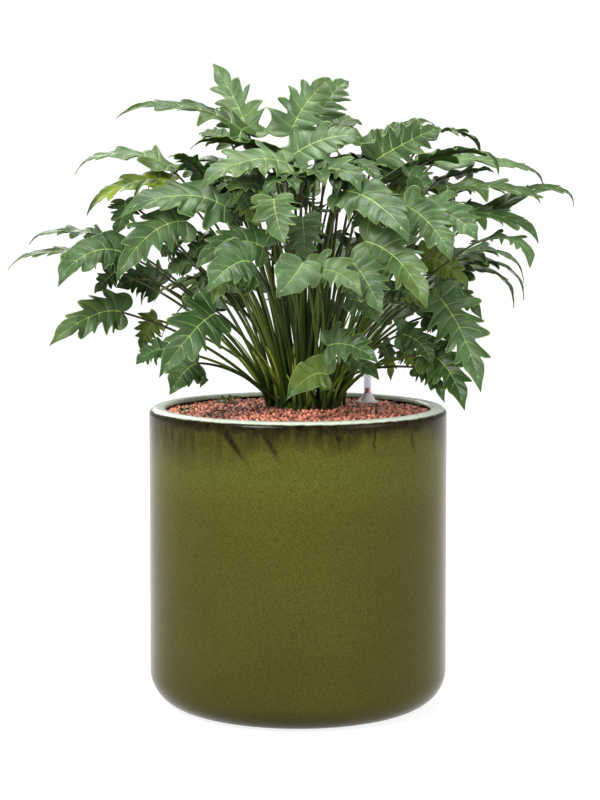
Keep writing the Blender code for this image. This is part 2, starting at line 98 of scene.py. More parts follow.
# Water gauge
GAUGE = Vector((0.0800, 0.085))
GAUGE_OUTER = 0.0045
GAUGE_INNER = 0.0031
GAUGE_TOP = 0.392
GAUGE_FLARE = 0.0125
ROD_RADIUS = 0.0024
ROD_TOP = 0.338
ROD_TURNS = 32
TUBE_TURNS = 48
MARK_RADIUS = 0.0029

# Points closer than this are joined
JOIN = 0.00002
FINE_JOIN = 0.00001

UP = Vector((0.0, 0.0, 1.0))

# Studio
WHITE = (1.0, 1.0, 1.0)
WORLD_LIGHT = 0.55
WORLD_SEEN = 1.05
FLOOR = ((-6, -6, 0), (6, -6, 0), (6, 9, 0), (-6, 9, 0))
CAMERA_DOWN = 3.883

# Each lamp: its name, its place, how high over the origin it aims, its size and its power
LAMPS = (
    ("key", (-1.3, -1.9, 2.1), 0.35, 1.0, 72.0),
    ("fill", (1.9, -1.3, 1.3), 0.35, 1.3, 20.0),
    ("top", (0.1, 0.3, 2.3), 0.40, 1.0, 30.0),
    ("back", (-0.9, 2.3, 1.5), 0.35, 1.3, 24.0),
)

# The level eye from which the leaves' joints and tips were read
EYE_DISTANCE = 2.44
EYE_HEIGHT = 0.61
EYE_FOCUS = 2189.0
EYE_U = 298.0
EYE_V = 153.0

# Each leaf: the joint of blade and petiole, the blade's middle and its tip, in the eye's picture
# units, then how far behind the pot's axis the joint and the tip lie, in millimetres, the blade's
# width in millimetres and how much its face turns to the front (0 lies flat, 1 stands upright)
LEAVES = {
    "dark_left": ((270, 152), (232, 141), (191, 150), 20, -10, 54, -0.25),
    "summit_left": ((250, 140), (237, 104), (215, 68), 30, 90, 56, 0.8),
    "long_left": ((244, 137), (190, 112), (120, 123), 10, 0, 58, 0.28),
    "summit": ((290, 135), (306, 104), (330, 79), 10, 60, 66, 0.9),
    "summit_back": ((318, 122), (331, 96), (348, 82), 60, 100, 52, 0.7),
    "summit_right": ((328, 140), (345, 120), (353, 126), 80, 130, 48, 0.5),
    "high_right": ((291, 158), (330, 139), (365, 144), -10, 0, 58, 0.45),
    "back_right": ((364, 145), (400, 128), (432, 124), 60, 90, 52, 0.25),
    "back_right_low": ((375, 160), (408, 141), (438, 129), 20, 50, 62, 0.7),
    "edge_right": ((425, 137), (455, 131), (479, 155), 60, 90, 44, 0.1),
    "arch_right": ((393, 180), (455, 152), (496, 175), 0, -60, 60, -0.25),
    "hook_right": ((430, 160), (497, 158), (538, 181), 20, 40, 56, 0.2),
    "shade_right": ((436, 179), (466, 172), (492, 172), 40, 50, 50, -0.3),
    "wing_right": ((445, 188), (497, 187), (538, 203), -10, -20, 56, 0.22),
    "pale_right": ((454, 192), (479, 186), (500, 190), 50, 66, 40, -0.1),
    "far_right": ((491, 210), (540, 188), (571, 206), 20, 40, 48, 0.22),
    "low_wing_right": ((440, 214), (497, 216), (536, 243), -20, -30, 56, 0.3),
    "fold_right": ((476, 241), (512, 240), (528, 268), -30, -60, 42, 0.1),
    "grey_right": ((428, 210), (454, 218), (476, 241), -60, -90, 60, 0.55),
    "front_right": ((404, 205), (432, 228), (450, 262), -70, -110, 56, 0.7),
    "big_front": ((343, 191), (377, 205), (407, 243), -60, -140, 64, 0.5),
    "pale_front": ((307, 178), (336, 166), (361, 190), -30, -80, 60, 0.45),
    "small_yellow": ((400, 186), (387, 180), (373, 185), 0, -10, 26, 0.5),
    "pale_left": ((287, 163), (243, 163), (201, 192), -30, -90, 62, 0.42),
    "yellow_left": ((170, 181), (128, 184), (89, 215), 0, 10, 56, 0.32),
    "hang_left": ((127, 200), (125, 214), (116, 235), 10, 16, 38, 0.9),
    "far_left": ((113, 238), (70, 230), (31, 244), 20, 40, 44, 0.15),
    "high_left": ((172, 172), (124, 157), (79, 178), 20, 40, 54, 0.2),
    "fold_left": ((205, 177), (190, 161), (170, 158), 10, -20, 46, -0.2),
    "back_left": ((232, 143), (217, 134), (200, 134), 80, 110, 48, 0.3),
    "dark_front_left": ((226, 207), (180, 196), (121, 218), -40, -70, 68, 0.42),
    "drop_left": ((187, 219), (150, 232), (118, 278), -60, -90, 58, 0.7),
    "pale_low_left": ((125, 252), (90, 253), (60, 286), -20, -50, 56, 0.5),
    "reach_left": ((108, 256), (60, 250), (10, 268), 20, 40, 44, 0.2),
    "under_left": ((118, 270), (108, 278), (96, 292), 0, 10, 30, 0.7),
    "low_left": ((123, 309), (92, 312), (50, 341), 0, -20, 54, 0.7),
    "mid_left": ((155, 287), (134, 284), (110, 294), 20, 26, 52, 0.7),
    "thin_mid": ((208, 281), (187, 286), (163, 297), 40, 30, 30, 0.4),
    "low_front_left": ((215, 313), (192, 333), (160, 377), -80, -130, 66, 0.8),
    "rim_left": ((198, 362), (185, 371), (170, 394), -60, -90, 48, 0.8),
    "low_back_left": ((165, 348), (151, 351), (137, 363), 10, 20, 34, 0.6),
    "yellow_low": ((158, 318), (148, 330), (142, 349), 40, 46, 34, 0.7),
    "mid_front_left": ((252, 262), (232, 266), (208, 292), -110, -160, 58, 0.7),
    "dark_mid": ((243, 275), (226, 280), (213, 305), -80, -104, 40, 0.6),
    "gloss_left": ((264, 247), (231, 243), (196, 270), -70, -100, 54, 0.6),
    "gloss_front": ((274, 199), (277, 218), (285, 246), -90, -124, 54, 0.9),
    "olive_front": ((268, 189), (248, 184), (228, 192), -40, -70, 44, 0.5),
    "olive_hang": ((243, 193), (250, 208), (260, 227), -30, -44, 34, 0.9),
    "middle": ((302, 216), (304, 236), (303, 260), -60, -88, 48, 0.9),
    "dark_small": ((373, 222), (362, 220), (350, 229), -10, -20, 28, 0.6),
    "pale_middle": ((303, 262), (294, 276), (276, 298), -120, -160, 50, 0.8),
    "ribbed_middle": ((313, 272), (338, 273), (362, 297), -110, -150, 46, 0.7),
    "drop_middle": ((352, 262), (367, 283), (381, 315), -110, -150, 56, 0.8),
    "big_right": ((364, 241), (399, 262), (426, 309), -80, -136, 66, 0.8),
    "long_drop_right": ((439, 297), (463, 337), (480, 392), -60, -104, 62, 0.8),
    "narrow_right": ((437, 283), (462, 293), (481, 315), -10, -20, 34, 0.6),
    "olive_right": ((423, 256), (447, 265), (466, 290), 40, 50, 46, 0.6),
    "rim_right": ((426, 352), (448, 370), (464, 410), -56, -96, 52, 0.8),
    "rim_narrow": ((416, 366), (432, 377), (444, 402), -40, -64, 30, 0.7),
    "under_right": ((425, 315), (440, 323), (450, 345), -30, -44, 36, 0.8),
    "under_middle": ((400, 333), (419, 342), (432, 365), -56, -76, 38, 0.8),
    "olive_low": ((400, 350), (410, 356), (418, 371), 16, 10, 28, 0.8),
    "low_middle": ((327, 345), (351, 345), (378, 363), -84, -116, 46, 0.7),
    "low_shade": ((345, 352), (361, 362), (379, 379), -50, -70, 34, 0.7),
    "yellow_right": ((383, 342), (389, 358), (391, 380), 10, 4, 22, 0.9),
    "low_bright": ((328, 374), (309, 376), (286, 400), -80, -112, 40, 0.7),
    "mid_ribbed": ((345, 296), (361, 300), (376, 320), -76, -96, 34, 0.8),
    "mid_olive": ((390, 290), (408, 292), (425, 310), -40, -60, 36, 0.6),
    "top_fold": ((414, 171), (426, 174), (431, 190), -10, -16, 34, 0.7),
    "light_right": ((405, 203), (417, 200), (429, 210), -20, -34, 30, 0.5),
    "grey_back": ((391, 181), (390, 170), (384, 160), 60, 76, 34, 0.8),
    "grey_left": ((240, 211), (236, 218), (234, 232), 40, 34, 32, 0.9),
    "dark_back": ((306, 176), (300, 184), (296, 202), 60, 66, 44, 0.9),
    "inner_left": ((207, 244), (199, 247), (189, 257), 50, 56, 34, 0.7),
    "inner_low_left": ((171, 250), (164, 253), (156, 263), 50, 60, 34, 0.7),
    "brown_left": ((190, 274), (178, 279), (165, 293), 50, 60, 40, 0.6),
}

# Leaves of the half that faces away: they follow the golden angle over a dome
BACK_LEAVES = 17
BACK_BASE = 0.385
BACK_WIDTH = 0.062
BACK_FACE = 0.15
GOLDEN = pi * (3.0 - sqrt(5.0))

# Leaves inside the dome, with the upper ones first
INNER_LEAVES = 44
INNER_HIGH = 24

# Old sheaths round the crown, with those at the front first
SHEATHS = 26
FRONT_SHEATHS = 14
SHEATH_FOOT = 0.320

# The two ends of the dry stalk on the granules
DRY_STALK = ((-0.098, -0.046, BED_TOP + 0.0045), (-0.064, 0.046, BED_TOP + 0.0055))

# Scraps of leaf on the granules: where each starts, how it runs, its width and its tone
FALLEN = (
    ((-0.130, -0.016, BED_TOP + 0.0045), (0.017, -0.006, 0.001), 0.011, 0.30),
    ((-0.088, 0.070, BED_TOP + 0.0050), (0.024, 0.016, 0.003), 0.015, 0.15),
)

# Drips of the dark glaze: turn from the front in degrees, how far down they run, half width in
# degrees, how many degrees they lean in LEAN_LENGTH, and how dark they are
LEAN_LENGTH = 0.035
DRIPS = (
    (-68.0, 0.050, 5.5, 0.0, 0.75),
    (-56.0, 0.030, 4.0, 0.0, 0.60),
    (-30.5, 0.048, 4.0, 9.0, 0.95),
    (-15.0, 0.045, 3.2, 7.0, 0.85),
    (-5.0, 0.026, 3.6, 2.0, 0.55),
    (5.0, 0.024, 3.0, 0.0, 0.45),
    (14.5, 0.036, 1.6, 0.5, 0.95),
    (29.5, 0.039, 1.5, 0.0, 0.90),
    (46.0, 0.040, 3.0, 2.0, 0.65),
    (62.0, 0.036, 4.5, 0.0, 0.60),
    (92.0, 0.034, 3.0, 2.0, 0.80),
    (121.0, 0.044, 2.6, -6.0, 0.90),
    (146.0, 0.030, 2.8, 0.0, 0.70),
    (172.0, 0.040, 2.4, 4.0, 0.85),
    (-160.0, 0.032, 2.8, 0.0, 0.75),
    (-130.0, 0.046, 2.6, -6.0, 0.90),
    (-98.0, 0.036, 3.4, 0.0, 0.75),
)

# How much less than the rule a leaf is cut: below 0 its notches go deeper, and 1 is a whole margin
LESS_CUT = {
    "summit": -0.35,
    "summit_left": -0.35,
    "summit_back": -0.35,
    "back_right_low": -0.35,
    "long_left": -0.35,
    "long_drop_right": -0.35,
    "rim_left": 0.85,
    "mid_front_left": 0.85,
    "high_right": 0.85,
    "big_front": 0.85,
    "dark_front_left": 0.85,
    "pale_low_left": 0.85,
    "low_bright": 1.0,
    "pale_middle": 1.0,
}

# How pale a leaf's face is, from 0 (deep green) to 1 (silvery), and how yellow, by a word or
# more of its name. The paleness is partly painted light: leaves named shade, under, low and rim
# are painted darker as shade, and the summit's leaves paler as lit
TONES_AND_PAINTED_LIGHT = {
    "pale": 0.85,
    "grey": 0.80,
    "dark": 0.12,
    "gloss": 0.15,
    "shade": 0.10,
    "under": 0.12,
    "olive": 0.20,
    "front": 0.55,
    "big": 0.42,
    "low": 0.25,
    "rim": 0.15,
    "summit": 0.78,
    "drop": 0.45,
}
YELLOWS = {
    "yellow": 0.75,
    "yellow_low": 0.25,
    "olive": 0.35,
    "bright": 0.22,
    "light": 0.30,
    "reach": 0.15,
}


# Places


def seen_point(u, v, depth):
    """The point that the eye sees at (u, v), depth millimetres behind the pot's axis."""
    away = EYE_DISTANCE + depth / 1000.0
    x = (u - EYE_U) / EYE_FOCUS * away
    z = EYE_HEIGHT - (v - EYE_V) / EYE_FOCUS * away
    return Vector((x, depth / 1000.0, z))


def scatter(k, step, low, width):
    """Numbers that lie evenly from low to low + width for k = 0, 1, 2 and so on."""
    return low + width * ((k * step) % 1.0)


def heading(turn):
    return Vector((cos(turn), sin(turn), 0.0))


def leaf_list():
    """Every leaf as its base, its middle's control point, its tip, its width and its facing."""
    leaves = {}
    for name, (joint, middle, tip, near, far, width, face) in LEAVES.items():
        start = seen_point(*joint, near)
        end = seen_point(*tip, far)
        way = seen_point(*middle, 0.55 * near + 0.45 * far)
        leaves[name] = (start, 2.0 * way - (start + end) / 2.0, end, width / 1000.0, face)
    for k in range(BACK_LEAVES):
        turn = radians(12.0) + (k * GOLDEN) % radians(156.0)
        rise = radians(8.0 + 66.0 * ((k * 0.618 + 0.35) % 1.0))
        reach = 0.16 + 0.07 * ((k * 0.382 + 0.2) % 1.0)
        out = heading(turn)
        base = Vector((CROWN.x, CROWN.y, BACK_BASE))
        start = base + out * reach * cos(rise) + UP * reach * 0.98 * sin(rise)
        length = 0.105 + 0.015 * sin(k * 1.7)
        way = start + out * length * 0.55 + UP * length * (0.12 + 0.15 * sin(rise))
        end = start + out * length * 0.96 - UP * length * (0.42 - 0.45 * sin(rise))
        bent = 2.0 * way - (start + end) / 2.0
        leaves["back_%02d" % k] = (start, bent, end, BACK_WIDTH, BACK_FACE)
    return leaves


def shoot_places():
    places = {"shoot_middle": CROWN.copy()}
    for ring, radius, count, first in SHOOT_RINGS:
        for k in range(count):
            turn = 2.0 * pi * (k + first) / count
            places["shoot_%s_%d" % (ring, k + 1)] = CROWN + radius * heading(turn).xy
    return places


def moved(leaf, level):
    """The leaf, shifted and swung a little further with each level."""
    start, way, end, width, face = leaf
    amount = 0.0016 * level
    turn = level * GOLDEN
    shift = Vector((cos(turn) * 0.5, sin(turn * 1.7), sin(turn) * 0.7)) * amount
    lift = UP * amount * 0.5 * cos(turn * 0.7)
    return start + shift, way + shift + lift, end + shift * 1.2 + lift, width, face


def bezier(points, t):
    rest = list(points)
    while len(rest) > 1:
        rest = [a.lerp(b, t) for a, b in zip(rest, rest[1:])]
    return rest[0]


def slope(points, t):
    step = 0.01
    low = max(0.0, t - step)
    high = min(1.0, t + step)
    return (bezier(points, high) - bezier(points, low)).normalized()


def blade_frame(leaf, t):
    face = leaf[4]
    along = slope(leaf[:3], min(max(t, 0.0), 1.0))
    facing = Vector((0.0, -face, 1.0 - face)).normalized()
    if abs(along.dot(facing)) > 0.94:
        facing = Vector((0.0, -1.0 + face, face)).normalized()
    side = along.cross(facing).normalized()
    return along, side, side.cross(along).normalized()


def blade_point(leaf, t, across):
    """A point of the blade, t along the midrib and across it in half widths, and its upward
    direction. The halves rise from the midrib and droop at the margin, and the tip hooks down."""
    start, way, end, width = leaf[:4]
    along, side, up = blade_frame(leaf, t)
    length = (way - start).length + (end - way).length
    at = bezier((start, way, end), max(t, 0.0)) + along * min(t, 0.0) * length
    half = across * width / 2.0
    lift = 0.24 * abs(half) - 8.0 * half * half - 0.004 * sin(t * 21.0) * across * across
    far = max(0.0, t - 0.5)
    hook = 1.9 * length * far * far * (1.0 - t)
    return at + side * half + up * (lift + hook), up


def petiole_route(leaf, root, bend):
    """The petiole's route: up out of the shoot, then outwards and under the blade's base."""
    start = leaf[0]
    foot = Vector((root.x, root.y, STEM_TOP - 0.006))
    out = start - foot
    flat = Vector((out.x, out.y, 0.0))
    foot = foot + flat.normalized() * 0.0030
    over = max(0.70 * out.z, min(0.10, 0.42 * flat.length)) * (1.0 + bend[1])
    knee = Vector((foot.x + 0.36 * flat.x, foot.y + 0.36 * flat.y, foot.z + over))
    aside = Vector((-flat.y, flat.x, 0.0)).normalized() * bend[0]
    return foot + aside * 0.08, knee + aside, start


def nearest(tree, point):
    return tree.find(point)[2]


def vertex_tree(mesh):
    tree = KDTree(len(mesh.vertices))
    for k, vertex in enumerate(mesh.vertices):
        tree.insert(vertex.co, k)
    tree.balance()
    return tree


def placed_leaves():
    """Which shoot each leaf grows from, and the place and bend it was given in the solid model."""
    shoots = shoot_places()
    trees = {name: vertex_tree(frame_mesh(name)) for name in shoots}
    found = []
    for name, leaf in leaf_list().items():
        best = None
        for level in range(LEVELS):
            tried = moved(leaf, level)
            tip, up = blade_point(tried, 1.0, 0.0)
            for home, tree in trees.items():
                away = nearest(tree, tip + up * BLADE / 2.0)
                if best is None or away < best[0]:
                    best = (away, tried, home)
        away, tried, home = best
        if away > 0.0004:
            continue
        best = None
        for bend in BENDS:
            route = petiole_route(tried, shoots[home], bend)
            miss = 0.0
            for t in (0.32, 0.62, 0.87):
                miss += abs(nearest(trees[home], bezier(route, t)) - PETIOLE * (1.0 - 0.40 * t))
            if best is None or miss < best[0]:
                best = (miss, bend)
        found.append((name, tried, home, best[1]))
    return shoots, found


def frame_mesh(node):
    return bpy.data.objects[node].data if node in bpy.data.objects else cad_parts[node].data


# Materials


class Graph:
    """Short calls that add and wire the nodes of one tree."""

    def __init__(self, tree):
        self.tree = tree

    def feed(self, socket, value):
        """Links a socket to another or sets its value. A colour of three numbers is opaque."""
        if isinstance(value, bpy.types.NodeSocket):
            self.tree.links.new(value, socket)
        elif socket.type == "RGBA":
            socket.default_value = (*value, 1.0)
        else:
            socket.default_value = value

    def add(self, kind, inputs=None, **settings):
        """A node's outputs, once it has its settings and its inputs."""
        node = self.tree.nodes.new(kind)
        for name, value in settings.items():
            setattr(node, name, value)
        for name, value in (inputs or {}).items():
            self.feed(node.inputs[name], value)
        return node.outputs


class Look(Graph):
    """A material, with short calls for the nodes that colour it."""

    def __init__(self, name):
        self.made = bpy.data.materials.new(name)
        self.made.use_nodes = True
        super().__init__(self.made.node_tree)
        self.shader = self.tree.nodes["Principled BSDF"]

    def math(self, operation, a, b=0.0, c=0.0, clamp=False):
        inputs = {0: a, 1: b, 2: c}
        return self.add("ShaderNodeMath", inputs, operation=operation, use_clamp=clamp)[0]

    def times(self, a, b):
        return self.math("MULTIPLY", a, b)

    def plus(self, a, b):
        return self.math("ADD", a, b)

    def most(self, a, b):
        return self.math("MAXIMUM", a, b)

    def line(self, value, factor, start):
        return self.math("MULTIPLY_ADD", value, factor, start)

    def saw(self, value):
        """How far a value lies from the middle between two whole numbers."""
        return self.math("ABSOLUTE", self.math("SUBTRACT", self.math("FRACT", value), 0.5))

    def ramp(self, value, low, high, start=0.0, end=1.0):
        """A smooth step from start to end, as the value goes from low to high."""
        inputs = {"Value": value, "From Min": low, "From Max": high, "To Min": start, "To Max": end}
        return self.add("ShaderNodeMapRange", inputs, interpolation_type="SMOOTHSTEP")["Result"]

    def mix(self, factor, a, b, blend="MIX"):
        inputs = {"Factor": factor, 6: a, 7: b}
        return self.add("ShaderNodeMix", inputs, data_type="RGBA", blend_type=blend)[2]

    def layers(self, base, *rows):
        """The base with colours over it, each as its mask and its strength say."""
        for mask, strength, colour in rows:
            base = self.mix(self.times(mask, strength), base, colour)
        return base

    def noise(self, vector, scale, detail=3.0, rough=0.55):
        inputs = {"Vector": vector, "Scale": scale, "Detail": detail, "Roughness": rough}
        return self.add("ShaderNodeTexNoise", inputs)["Fac"]

    def attribute(self, name):
        return self.add("ShaderNodeAttribute", attribute_name=name)["Fac"]

    def place(self):
        return self.add("ShaderNodeTexCoord")["Object"]

    def split(self, vector):
        return self.add("ShaderNodeSeparateXYZ", {0: vector})

    def bump(self, height, distance, strength):
        inputs = {"Distance": distance, "Strength": strength, "Height": height}
        self.feed(self.shader.inputs["Normal"], self.add("ShaderNodeBump", inputs)["Normal"])

    def surface(self, colour, roughness, others=None):
        """The material, once its shader has its values."""
        values = {"Base Color": colour, "Roughness": roughness, **(others or {})}
        for name, value in values.items():
            self.feed(self.shader.inputs[name], value)
        return self.made


def leaf_face(name, underside):
    """Leaf skin: pale midrib and side veins that run to the lobes, fine pleats, a pale margin. The
    pleats' grooves are painted darker as shade, and the face has patches of painted sheen.
    """
    g = Look(name)
    row, aside = g.split(g.add("ShaderNodeUVMap", uv_map="UVMap")["UV"])[:2]
    across = g.math("ABSOLUTE", g.line(aside, 2.0, -1.0))
    place = g.place()
    yellow = g.attribute("yellow")
    mottle = g.noise(place, 42.0, 4.0, 0.6)
    narrow = g.ramp(across, 0.0, 0.9, 0.085, 0.020)
    cell = g.saw(g.times(row, VEINS))
    vein = g.math("SUBTRACT", 1.0, g.math("DIVIDE", cell, narrow), clamp=True)
    vein = g.times(vein, g.ramp(across, 0.86, 1.0, 1.0, 0.0))
    # The pleats are grooves in the bump, and the same mask paints them darker as shade in the
    # grooves
    pleat = g.ramp(g.saw(g.line(row, 4.0 * VEINS, g.times(mottle, 0.5))), 0.12, 0.0)
    rib = g.ramp(across, 0.040, 0.014)
    edge = g.ramp(across, 0.950, 0.985)
    height = g.plus(g.times(vein, -0.6), g.times(pleat, -0.14))
    height = g.plus(height, g.times(mottle, 0.30))
    if underside:
        base = g.layers(
            g.mix(g.ramp(mottle, 0.3, 0.7), (0.018, 0.062, 0.006), (0.040, 0.110, 0.010)),
            (yellow, 1.0, (0.12, 0.19, 0.02)),
            # painted shade in the pleats' grooves
            (pleat, 0.25, (0.010, 0.035, 0.004)),
            (vein, 0.55, (0.09, 0.17, 0.03)),
            (rib, 1.0, (0.16, 0.030, 0.020)),
            (edge, 0.6, (0.13, 0.22, 0.05)),
        )
        height = g.times(height, -1.0)
    else:
        base = g.mix(g.attribute("tone"), (0.026, 0.066, 0.011), (0.112, 0.184, 0.082))
        # Painted sheen: paler patches over the face that stand in for highlights
        painted_sheen = g.ramp(g.noise(place, 14.0, 2.0), 0.50, 0.72)
        base = g.layers(base, (painted_sheen, 0.45, (0.168, 0.240, 0.128)))
        shade = g.ramp(mottle, 0.25, 0.75, 0.62, 1.38)
        grey = g.add("ShaderNodeCombineColor", {0: shade, 1: shade, 2: shade})[0]
        patches = g.times(yellow, g.ramp(g.noise(place, 18.0, 3.0), 0.42, 0.62))
        base = g.layers(
            g.mix(1.0, base, grey, "MULTIPLY"),
            (patches, 1.0, (0.34, 0.42, 0.03)),
            # painted shade in the pleats' grooves
            (pleat, 0.18, (0.022, 0.055, 0.012)),
            (vein, 0.72, (0.26, 0.38, 0.13)),
            (rib, 0.75, (0.36, 0.48, 0.14)),
            (edge, 0.60, (0.27, 0.40, 0.12)),
        )
    g.bump(height, 0.0010, 0.8)
    return g.surface(base, 0.42 if underside else 0.37, {"Specular IOR Level": 0.34})


def petiole_skin():
    """Petiole: green at its foot, brown to maroon towards the blade, faintly ribbed."""
    g = Look("petiole_skin")
    along = g.attribute("along")
    tone = g.attribute("tone")
    streak = g.noise(g.place(), 90.0, 3.0)
    foot = g.mix(tone, (0.034, 0.074, 0.008), (0.135, 0.200, 0.022))
    upper = g.mix(tone, (0.040, 0.020, 0.012), (0.070, 0.070, 0.018))
    base = g.layers(
        g.mix(g.ramp(along, 0.42, 0.92), foot, upper),
        (g.ramp(along, 0.90, 1.0), 0.75, (0.070, 0.014, 0.010)),
        (g.ramp(streak, 0.55, 0.75), 0.4, (0.020, 0.030, 0.006)),
    )
    g.bump(streak, 0.0004, 0.5)
    return g.surface(base, 0.42)


def sheath_skin():
    """Old sheath: green below, straw above, with brown streaks."""
    g = Look("sheath_skin")
    streak = g.noise(g.place(), 70.0, 4.0)
    rise = g.ramp(g.attribute("along"), 0.25, 0.75)
    base = g.layers(
        g.mix(rise, (0.042, 0.078, 0.010), (0.460, 0.520, 0.075)),
        (g.ramp(streak, 0.55, 0.75), 0.5, (0.120, 0.080, 0.024)),
    )
    g.bump(streak, 0.0005, 0.5)
    return g.surface(base, 0.5)


def olive_glaze():
    """Glaze: pale lip, dark band with drips, mottled olive body that darkens to the foot."""
    g = Look("olive_glaze")
    place = g.place()
    x, y, height = g.split(place)
    out = g.math("SQRT", g.plus(g.times(x, x), g.times(y, y)))
    turn = g.times(g.math("ARCTAN2", x, g.times(y, -1.0)), 180.0 / pi)
    fine = g.noise(place, 760.0, 4.0, 0.75)
    cloud = g.noise(place, 9.0, 3.0, 0.5)
    speck = g.noise(place, 520.0, 2.0, 0.6)
    blot = g.noise(place, 160.0, 3.0, 0.6)
    wander = g.noise(place, 70.0, 3.0, 0.6)
    lighter = g.times(g.ramp(height, 0.310, 0.285), g.ramp(height, 0.230, 0.268))
    body = g.layers(
        g.mix(g.ramp(height, 0.02, 0.20), (0.085, 0.073, 0.011), (0.106, 0.095, 0.013)),
        (g.ramp(height, 0.20, 0.275), 1.0, (0.120, 0.112, 0.015)),
        (g.ramp(cloud, 0.35, 0.70), 0.30, (0.130, 0.116, 0.015)),
        (lighter, 0.50, (0.136, 0.142, 0.026)),
        (g.ramp(fine, 0.44, 0.60), 0.62, (0.036, 0.031, 0.003)),
        (g.ramp(speck, 0.69, 0.75), 0.80, (0.010, 0.007, 0.002)),
        (g.ramp(height, 0.030, 0.004), 0.6, (0.026, 0.022, 0.004)),
    )
    below = g.plus(g.math("SUBTRACT", POT_HEIGHT, height), g.line(wander, 0.018, -0.009))
    swell = g.noise(place, 13.0, 2.0, 0.5)
    reach = g.ramp(swell, 0.38, 0.62, 0.0200, 0.0520)
    aslant = g.math("COSINE", g.line(turn, pi / 180.0, -0.10))
    reach = g.plus(reach, g.line(aslant, -0.024, 0.024))
    drawn = g.add("ShaderNodeVectorMath", {0: place, 1: (1.0, 1.0, 0.12)}, operation="MULTIPLY")
    streak = g.noise(drawn[0], 110.0, 3.0, 0.6)
    dark = g.math("DIVIDE", g.math("SUBTRACT", reach, below), g.math("SUBTRACT", reach, 0.0050))
    dark = g.math("POWER", g.most(g.math("MINIMUM", dark, 1.0), 0.0), 1.15)
    dark = g.times(dark, g.ramp(streak, 0.32, 0.58, 0.40, 1.0))
    dark = g.most(dark, g.ramp(below, 0.0200, 0.0080, 0.0, 0.88))
    turned = g.plus(turn, g.line(wander, 7.0, -3.5))
    for at, long, wide, lean, depth in DRIPS:
        off = g.math("ABSOLUTE", g.plus(turned, g.line(below, -lean / LEAN_LENGTH, -at)))
        taper = g.line(below, 0.75 * wide / long, off)
        side = g.ramp(taper, wide * 1.25, wide * 0.35)
        down = g.ramp(below, long * 1.10, long * 0.60)
        dark = g.most(dark, g.times(g.times(side, down), depth))
    dark = g.times(dark, g.ramp(blot, 0.20, 0.42, 0.75, 1.0))
    dark = g.most(dark, g.ramp(out, POT_INNER + 0.0022, POT_INNER + 0.0008))
    stain = g.mix(g.ramp(blot, 0.40, 0.70), (0.006, 0.004, 0.002), (0.030, 0.018, 0.005))
    body = g.mix(dark, body, stain)
    rough = g.plus(height, g.line(wander, 0.0024, -0.0012))
    within = g.ramp(out, POT_INNER + 0.0070, POT_INNER + 0.0040)
    inner = g.ramp(rough, POT_HEIGHT - 0.0046, POT_HEIGHT - 0.0034)
    lip = g.ramp(rough, POT_HEIGHT - 0.0034, POT_HEIGHT - 0.0018)
    lip = g.most(lip, g.times(within, inner))
    pale = g.mix(g.ramp(blot, 0.35, 0.75), (0.54, 0.61, 0.50), (0.66, 0.72, 0.62))
    thin = g.mix(within, (0.26, 0.31, 0.17), (0.56, 0.62, 0.40))
    pale = g.mix(g.ramp(height, POT_HEIGHT - 0.0008, POT_HEIGHT - 0.0045), pale, thin)
    g.bump(g.plus(fine, g.times(cloud, 1.5)), 0.0005, 0.22)
    shine = {"Specular IOR Level": 0.15, "Coat Weight": 0.03, "Coat Roughness": 0.05}
    return g.surface(g.mix(lip, body, pale), 0.16, shine)


def clay_skin():
    g = Look("clay_bead")
    rough = g.noise(g.place(), 900.0, 3.0, 0.6)
    low, high = (tuple(part * c for c in CLAY) for part in (0.10, 1.35))
    base = g.layers(
        g.mix(g.attribute("grain"), low, high),
        (g.ramp(rough, 0.45, 0.7), 0.25, (0.62, 0.33, 0.25)),
    )
    g.bump(rough, 0.0005, 0.5)
    return g.surface(base, 0.28)


# Painted shade: a near-black ground under the clay beads, for the shade in the gaps between them
def gap_shade_skin():
    g = Look("painted_gap_shade")
    rough = g.noise(g.place(), 260.0, 4.0, 0.6)
    g.bump(rough, 0.002, 0.8)
    base = g.mix(g.ramp(rough, 0.35, 0.7), (0.006, 0.002, 0.001), (0.020, 0.007, 0.004))
    return g.surface(base, 0.85)


def clear_plastic(name, clearness):
    """Clear plastic, or frosted plastic where less light goes through."""
    g = Look(name)
    g.bump(g.noise(g.place(), 240.0), 0.0003, 0.3)
    return g.surface((0.95, 0.93, 0.98), 0.05, {"Transmission Weight": clearness, "IOR": 1.15})


def plain_plastic(name, colour, roughness):
    g = Look(name)
    spots = g.ramp(g.noise(g.place(), 300.0), 0.3, 0.7)
    return g.surface(g.mix(spots, tuple(0.85 * c for c in colour), colour), roughness)


# Mesh building


